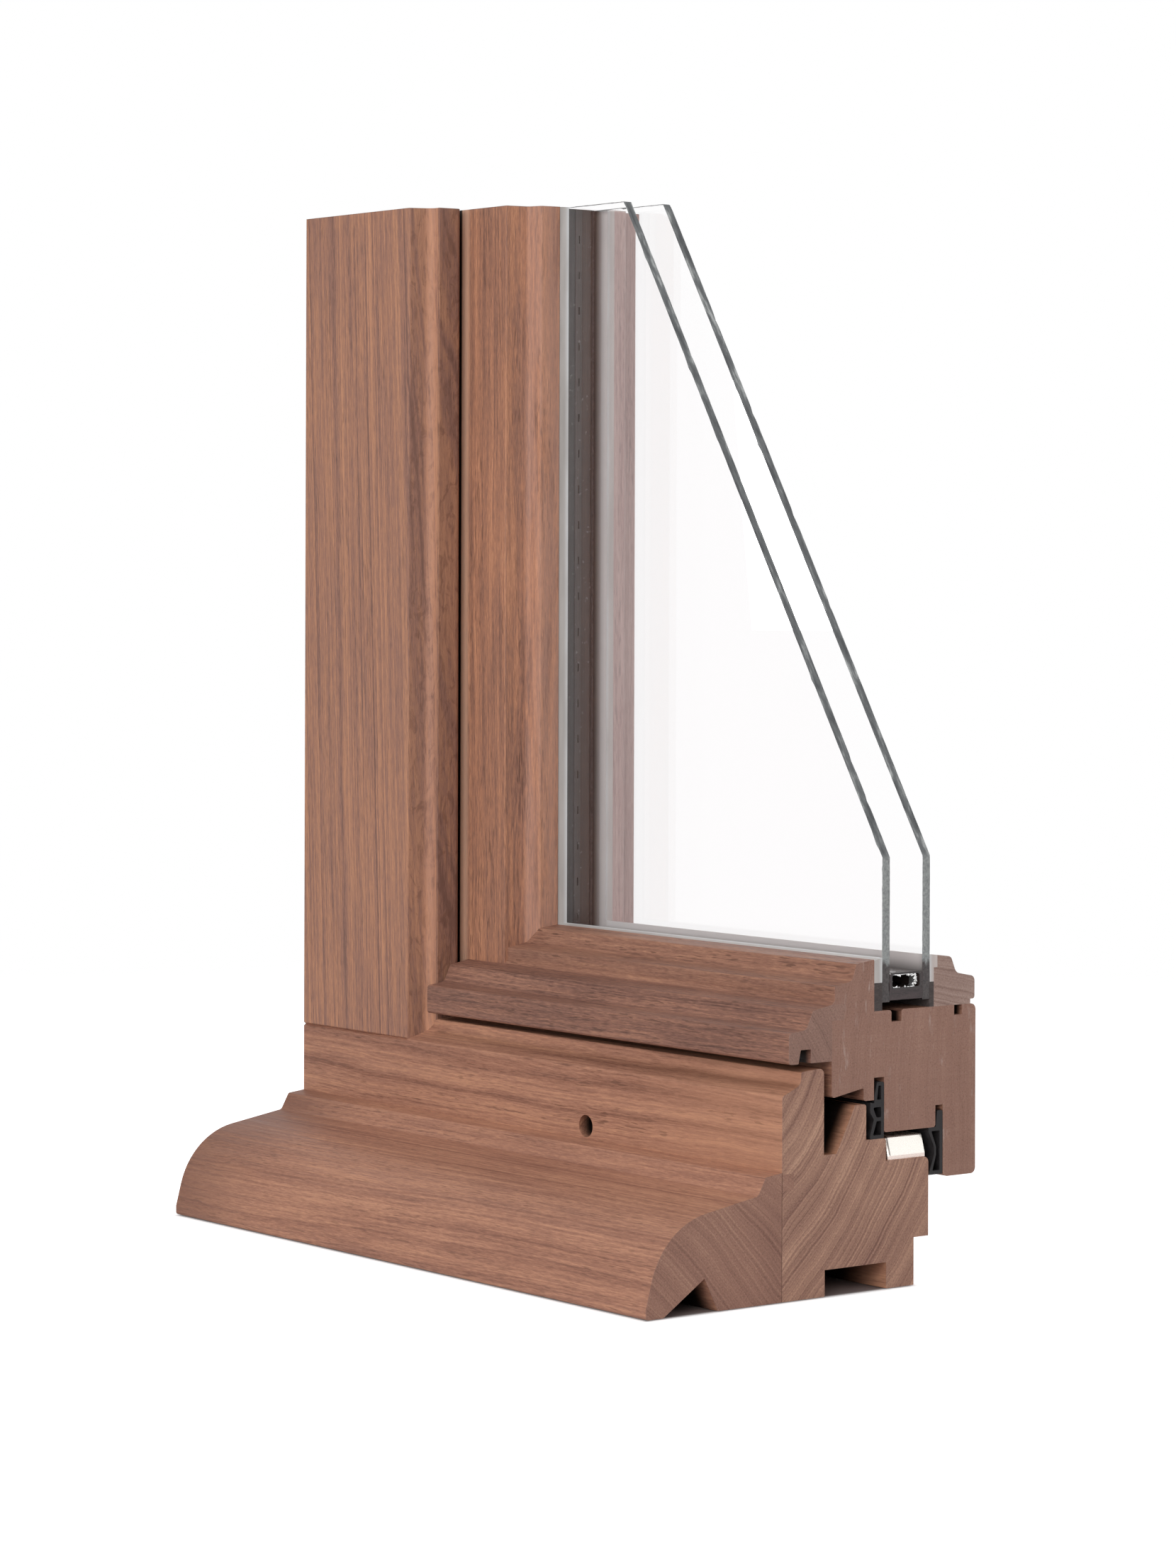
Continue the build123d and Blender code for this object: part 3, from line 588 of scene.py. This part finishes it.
def sawn_pane(name, node, seed):
    """A pane cut to the solid's outline, its sawn arrises chipped."""
    low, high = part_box(node)
    down_slant = (cut_corner - cut_head).normalized()
    square_out = Vector((1, 0, 0))
    slant_out = Vector((-down_slant.z, 0, down_slant.x))
    level_out = Vector((0, 0, 1))
    sawn_ways = (square_out, slant_out, level_out)

    def above_cut(point, way):
        """How far a point stands out from the cut that faces one way."""
        return point.z - sawn_top if way == level_out else (point - cut_corner).dot(way)

    bpy.ops.object.select_all(action="DESELECT")
    bpy.ops.mesh.primitive_cube_add(size=1, location=(low + high) / 2)
    pane = bpy.context.object
    pane.name = name
    pane.scale = (high.x - low.x, high.y - low.y + 2 * wetted, high.z - low.z)
    bpy.ops.object.transform_apply(location=True, rotation=True, scale=True)
    bpy.ops.object.mode_set(mode="EDIT")
    bpy.ops.mesh.select_all(action="SELECT")
    bpy.ops.mesh.bisect(plane_co=cut_corner, plane_no=slant_out, use_fill=True, clear_outer=True)
    bpy.ops.mesh.select_all(action="DESELECT")
    bpy.ops.object.mode_set(mode="OBJECT")
    for polygon in pane.data.polygons:
        polygon.select = any(polygon.normal.dot(way) > 0.999 for way in sawn_ways)
    bpy.ops.object.mode_set(mode="EDIT")
    bpy.ops.mesh.select_mode(type="FACE")
    bpy.ops.mesh.inset(thickness=arris, depth=0, use_individual=True)
    bpy.ops.mesh.select_all(action="DESELECT")
    bpy.ops.mesh.select_mode(type="EDGE")
    for way in sawn_ways:
        run = Vector((-way.z, 0, way.x))
        bpy.ops.object.mode_set(mode="OBJECT")
        longest = 0
        for edge in pane.data.edges:
            first, last = (pane.data.vertices[i].co for i in edge.vertices)
            span = last - first
            along_run = abs(span.normalized().dot(run)) > 0.999 and span.length > 0.02
            edge.select = along_run and abs(above_cut(first, way)) < 1e-5
            longest = max(longest, span.length if edge.select else 0)
        bpy.ops.object.mode_set(mode="EDIT")
        bpy.ops.mesh.subdivide(number_cuts=int(longest / chip_spacing))
        bpy.ops.mesh.select_all(action="DESELECT")
    bpy.ops.object.mode_set(mode="OBJECT")

    chips = random.Random(seed)
    chip = 0.0
    faces_at = (low.y - wetted, high.y + wetted)
    for vertex in pane.data.vertices:
        on_face = min(abs(vertex.co.y - y) for y in faces_at) < 1e-6
        for way in sawn_ways:
            if on_face and abs(above_cut(vertex.co, way)) < 1e-6:
                if chips.random() < 0.04:
                    chip = chips.uniform(0.0002, 0.0006)
                else:
                    chip *= chips.uniform(0.1, 0.7)
                vertex.co -= way * (chip + chips.uniform(0.00003, 0.00014))
                break
    pane.data.materials.append(float_glass)
    pane.data.materials.append(cut_glass)
    for polygon in pane.data.polygons:
        polygon.material_index = 0 if abs(polygon.normal.y) > 0.999 else 1
    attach(pane, "root")
    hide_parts(node)


float_glass = clear_glass()
cut_glass = sawn_glass()
sawn_pane("outer_pane_sawn", "outer_pane", 11)
sawn_pane("inner_pane_sawn", "inner_pane", 23)


# Spacer bar. It is a hollow bar of thin aluminium with a dark bronze finish, bent round the corner
# between the panes and pierced with fine slits over the drying agent. The saw tore its end into
# a bright, crushed ring.
def spacer_finish():
    """Bronzed aluminium with drawing lines and dust, smeared at the end and stained at the top."""
    stain_reach = 0.012
    material, tree, face = shader("bronzed spacer")
    place, (x, y, z) = coordinates(tree)
    drawn = noise(tree, place, (3, 1400, 3), 3.0, 0.6)["Fac"]
    dust = noise(tree, place, (500, 500, 500), 2.0)["Fac"]
    skin = tones(tree, drawn, (0.3, colour(46, 37, 35)), (0.7, colour(64, 53, 51)))
    skin = blended(tree, between(tree, dust, 0.66, 0.74, 0.0, 0.35), skin, colour(150, 142, 138))
    skin = blended(tree, on_cut(tree, x, sawn_end), skin, colour(52, 46, 46))
    blot = noise(tree, place, (260, 260, 180), 3.0, 0.7)["Fac"]
    stain_height = maths(tree, "ADD", z, maths(tree, "MULTIPLY", blot, stain_reach))
    stained = between(tree, stain_height, sawn_top + 0.0005, sawn_top + 0.0035, 0.0, 0.7)
    skin = blended(tree, stained, skin, colour(40, 34, 33))
    feed(tree, face.inputs["Base Color"], skin)
    feed(tree, face.inputs["Roughness"], between(tree, drawn, 0.3, 0.7, 0.28, 0.42))
    face.inputs["Specular IOR Level"].default_value = 0.4
    return material


dress("spacer_bar", spacer_finish())

torn_low = Vector((sawn_end - 0.0042, 0.0394, 0.1213))
torn_high = Vector((sawn_end - 0.0001, 0.0546, 0.1284))
torn_wall = 0.0008
squareness = 4.5            # 2 would be an ellipse
bpy.ops.object.select_all(action="DESELECT")
bpy.ops.mesh.primitive_cylinder_add(
    vertices=64,
    radius=0.5,
    depth=torn_high.x - torn_low.x,
    end_fill_type="NOTHING",
    location=(0, 0, 0),
    rotation=(0, math.radians(90), 0),
)
torn = bpy.context.object
torn.name = "spacer_torn_end"
bpy.ops.object.transform_apply(location=True, rotation=True, scale=True)
bpy.ops.object.mode_set(mode="EDIT")
bpy.ops.mesh.select_all(action="SELECT")
bpy.ops.mesh.subdivide(number_cuts=1)
bpy.ops.object.mode_set(mode="OBJECT")
tears = random.Random(5)
middle = (torn_low + torn_high) / 2
half = (torn_high - torn_low) / 2
for vertex in torn.data.vertices:
    turn = math.atan2(vertex.co.z, vertex.co.y)
    side, rise = math.cos(turn), math.sin(turn)
    swell = (abs(side) ** squareness + abs(rise) ** squareness) ** (-1 / squareness)
    outer_end = vertex.co.x > half.x * 0.5
    crush = tears.uniform(0.0, 0.10) if outer_end else 0.0
    if outer_end and tears.random() < 0.16:
        crush = tears.uniform(0.22, 0.42)
    vertex.co.y = middle.y + side * swell * half.y * (1 - crush * 0.45)
    vertex.co.z = middle.z + rise * swell * half.z * (1 - crush)
    vertex.co.x += middle.x + (tears.uniform(-0.0004, 0.0001) if outer_end else 0.0)
thick = torn.modifiers.new("wall", "SOLIDIFY")
thick.thickness = torn_wall
thick.offset = -1
bpy.ops.object.modifier_apply(modifier="wall")
bpy.ops.object.mode_set(mode="EDIT")
bpy.ops.mesh.select_all(action="SELECT")
bpy.ops.mesh.normals_make_consistent(inside=False)
bpy.ops.object.mode_set(mode="OBJECT")
material, tree, face = shader("torn aluminium")
scuff = noise(tree, coordinates(tree)[0], (700, 700, 700), 3.0, 0.7)["Fac"]
bright_metal = tones(tree, scuff, (0.3, colour(176, 174, 172)), (0.6, colour(240, 240, 240)))
feed(tree, face.inputs["Base Color"], bright_metal)
feed(tree, face.inputs["Roughness"], between(tree, scuff, 0.3, 0.7, 0.42, 0.20))
face.inputs["Metallic"].default_value = 0.85
torn.data.materials.append(material)
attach(torn, "root")


# Edge sealant and tapes. Black-brown sealant was run in round the spacer and dragged by the saw.
# Grey foam tapes bed the glass on both sides.
def dark_bedding(name, low, high, rough, grain, dragged=1.0):
    """Soft dark filling with drag marks of the saw and a matt or greasy sheen."""
    material, tree, face = shader(name)
    place = coordinates(tree)[0]
    drag = noise(tree, place, (grain, grain * 0.35, grain * dragged), 3.0, 0.65, 0.4)["Fac"]
    fleck = noise(tree, place, (1300, 1300, 1300), 2.0)["Fac"]
    skin = tones(tree, drag, (0.30, low), (0.72, high))
    skin = blended(tree, between(tree, fleck, 0.62, 0.72, 0.0, 0.35), skin, colour(120, 110, 106))
    feed(tree, face.inputs["Base Color"], skin)
    feed(tree, face.inputs["Roughness"], between(tree, drag, 0.3, 0.7, rough, rough + 0.2))
    face.inputs["Specular IOR Level"].default_value = 0.3
    embossed(tree, face, drag, 0.5, 0.0003)
    return material


dress("edge_sealant", dark_bedding("edge sealant", colour(48, 41, 42), colour(84, 74, 74), 0.45, 420, 1.6))
foam = dark_bedding("glazing tape", colour(62, 55, 54), colour(88, 80, 78), 0.7, 900)
dress("outer_tape", foam)
dress("inner_tape", foam)


# Silicone. It is pale grey, run in above the tapes and smoothed by hand, a little wavy along its
# edge. A painted highlight brightens it along the glass, and painted shade darkens the face
# against the glass further in.
def silicone(node, low, high, glass_side, timber_side, fall):
    """Silicone from the glass's side to the timber's. fall is how far down the glass it sticks."""
    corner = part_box(node)[0]
    material, tree, face = shader(node.replace("_", " "))
    place, (x, y, z) = coordinates(tree)
    wave = noise(tree, place, (22, 130, 22), 3.0, 0.5)["Fac"]
    # A painted highlight along the glass side.
    painted_edge_highlight = between(tree, y, glass_side + 0.5 * (timber_side - glass_side), glass_side)
    painted_edge_highlight = maths(tree, "MULTIPLY", painted_edge_highlight, between(tree, wave, 0.35, 0.60, 0.45, 0.75))
    skin = blended(tree, painted_edge_highlight, tones(tree, wave, (0.3, low), (0.7, high)), colour(222, 224, 226))
    inwards_x = maths(tree, "SUBTRACT", corner.x + fall, x)
    inwards_z = maths(tree, "SUBTRACT", corner.z + fall, z)
    inwards = maths(tree, "MAXIMUM", inwards_x, inwards_z)
    # Painted shade darkens the face against the glass further in.
    painted_inner_shade = between(tree, inwards, 0.0, 0.0100)
    stuck_skin = blended(tree, painted_inner_shade, colour(226, 218, 216), colour(56, 48, 46))
    from_glass = maths(tree, "ABSOLUTE", maths(tree, "SUBTRACT", y, glass_side))
    stuck = between(tree, from_glass, 0.00004, 0.00002)
    skin = blended(tree, stuck, skin, stuck_skin)
    feed(tree, face.inputs["Base Color"], skin)
    feed(tree, face.inputs["Roughness"], between(tree, wave, 0.3, 0.7, 0.30, 0.45))
    embossed(tree, face, wave, 0.25, 0.0006)
    return material


silicone_width = 0.0043
outer_glass_face = 0.03535
inner_glass_face = 0.06135
outer_silicone = silicone(
    "outer_silicone",
    colour(168, 162, 158),
    colour(194, 188, 184),
    glass_side=outer_glass_face,
    timber_side=outer_glass_face - silicone_width,
    fall=0.0097,
)
dress("outer_silicone", outer_silicone)
inner_silicone = silicone(
    "inner_silicone",
    colour(190, 177, 172),
    colour(212, 200, 195),
    glass_side=inner_glass_face,
    timber_side=inner_glass_face + silicone_width,
    fall=0.0108,
)
dress("inner_silicone", inner_silicone)

# Gaskets. Two strips of black rubber, extruded with hollow chambers, are pushed into grooves of
# the sash. They close it against the frame.
material, tree, face = shader("black rubber")
bloom = noise(tree, coordinates(tree)[0], (240, 240, 240), 3.0, 0.6)["Fac"]
black_rubber = tones(tree, bloom, (0.3, colour(26, 24, 25)), (0.7, colour(44, 41, 42)))
feed(tree, face.inputs["Base Color"], black_rubber)
feed(tree, face.inputs["Roughness"], between(tree, bloom, 0.3, 0.7, 0.5, 0.65))
face.inputs["Specular IOR Level"].default_value = 0.25
dress("middle_gasket", material)
dress("inner_gasket", material)

# Keep. It is the bright zinc-plated steel keep of the lock, screwed to the rebate of the frame
# rail. A painted shade strip lies along its front arris, and a painted reflection of the rebate
# tints its foot.
low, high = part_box("keep_plate")
material, tree, face = shader("zinc plate")
place, (x, y, z) = coordinates(tree)
rubbed = noise(tree, place, (60, 900, 900), 3.0, 0.6)["Fac"]
plate = tones(tree, rubbed, (0.3, colour(212, 207, 200)), (0.7, colour(231, 227, 220)))
# A painted shade strip along the front arris.
painted_arris_shade = between(tree, y, low.y + 0.0012, low.y + 0.0008)
painted_arris_shade = maths(tree, "MULTIPLY", painted_arris_shade, between(tree, y, low.y + 0.0003, low.y + 0.0006))
plate = blended(tree, painted_arris_shade, plate, colour(96, 90, 86))
# A painted reflection of the rebate in the foot.
painted_rebate_reflection = between(tree, z, low.z + 0.0020, low.z + 0.0012)
plate = blended(tree, painted_rebate_reflection, plate, colour(226, 210, 202))
feed(tree, face.inputs["Base Color"], plate)
feed(tree, face.inputs["Roughness"], between(tree, rubbed, 0.3, 0.7, 0.20, 0.34))
face.inputs["Metallic"].default_value = 0.6
dress("keep_plate", material)


# Studio. The floor and the room are white, and soft light comes mostly from the right of the
# weather side. The floor keeps the sample's shadow, and painted shadow darkens it where the
# sample stands on it.
def seen_share(tree):
    """1 for what the camera sees, straight or by reflection or through glass."""
    paths = tree.nodes.new("ShaderNodeLightPath")
    seen = maths(tree, "MAXIMUM", paths.outputs["Is Camera Ray"], paths.outputs["Is Transmission Ray"])
    return maths(tree, "MAXIMUM", seen, paths.outputs["Is Glossy Ray"])


frame_back = rail_face + 0.0706
footprint_middle = (cad_low[1] + frame_back) / 2
footprint_reach = (frame_back - cad_low[1]) / 2
white_light = (1, 1, 1, 1)
bpy.ops.object.select_all(action="DESELECT")
bpy.ops.mesh.primitive_plane_add(size=24, location=(0, 0, -0.0004))
floor = bpy.context.object
floor.name = "floor"
material, tree, face = shader("white floor")
face.inputs["Roughness"].default_value = 0.9
face.inputs["Specular IOR Level"].default_value = 0.1
place, (x, y, z) = coordinates(tree)
from_middle = maths(tree, "ABSOLUTE", maths(tree, "SUBTRACT", y, footprint_middle))
beyond_x = maths(tree, "SUBTRACT", maths(tree, "ABSOLUTE", x), sawn_end)
beyond_y = maths(tree, "SUBTRACT", from_middle, footprint_reach)
beyond = maths(tree, "MAXIMUM", beyond_x, beyond_y)
# Painted shadow under the sample's footprint.
painted_floor_shadow = between(tree, beyond, 0.001, -0.003)
paint = blended(tree, painted_floor_shadow, colour(238, 237, 238), colour(150, 136, 134))
feed(tree, face.inputs["Base Color"], paint)
glow = tree.nodes.new("ShaderNodeEmission")
glow.inputs["Color"].default_value = white_light
near_glow = between(tree, beyond, -0.004, 0.005, 0.0, 0.80)
tree.links.new(maths(tree, "MULTIPLY", seen_share(tree), near_glow), glow.inputs["Strength"])
both = tree.nodes.new("ShaderNodeAddShader")
tree.links.new(face.outputs[0], both.inputs[0])
tree.links.new(glow.outputs[0], both.inputs[1])
white = tree.nodes.new("ShaderNodeEmission")
white.inputs["Color"].default_value = white_light
far_away = between(tree, vectors(tree, "LENGTH", place), 0.5, 1.3)
faded = tree.nodes.new("ShaderNodeMixShader")
tree.links.new(maths(tree, "MULTIPLY", seen_share(tree), far_away), faded.inputs[0])
tree.links.new(both.outputs[0], faded.inputs[1])
tree.links.new(white.outputs[0], faded.inputs[2])
tree.links.new(faded.outputs[0], tree.nodes["Material Output"].inputs["Surface"])
floor.data.materials.append(material)
floor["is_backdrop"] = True

room_light = 0.16
world = bpy.data.worlds.new("studio")
bpy.context.scene.world = world
world.use_nodes = True
tree = world.node_tree
room = tree.nodes["Background"]
room.inputs["Color"].default_value = white_light
strength = maths(tree, "MULTIPLY_ADD", seen_share(tree), 1 - room_light, room_light)
tree.links.new(strength, room.inputs["Strength"])

softbox_size = 1.4
aimed_at = Vector((0, 0, 0.2))
for name, place, power in (
    ("main softbox", (1.5, -1.9, 0.9), 26),
    ("front softbox", (0.3, -2.4, 0.9), 13),
    ("top softbox", (0.1, -0.3, 2.2), 13),
    ("end softbox", (2.1, 1.3, 0.8), 7),
    ("back softbox", (-1.3, 2.0, 0.9), 12),
):
    light = bpy.data.objects.new(name, bpy.data.lights.new(name, "AREA"))
    light.data.shape = "SQUARE"
    light.data.size = softbox_size
    light.data.energy = power
    light.location = place
    light.rotation_euler = (aimed_at - Vector(place)).to_track_quat("-Z", "Y").to_euler()
    bpy.context.scene.collection.objects.link(light)

bpy.context.scene.view_settings.view_transform = "Standard"
low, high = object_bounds()
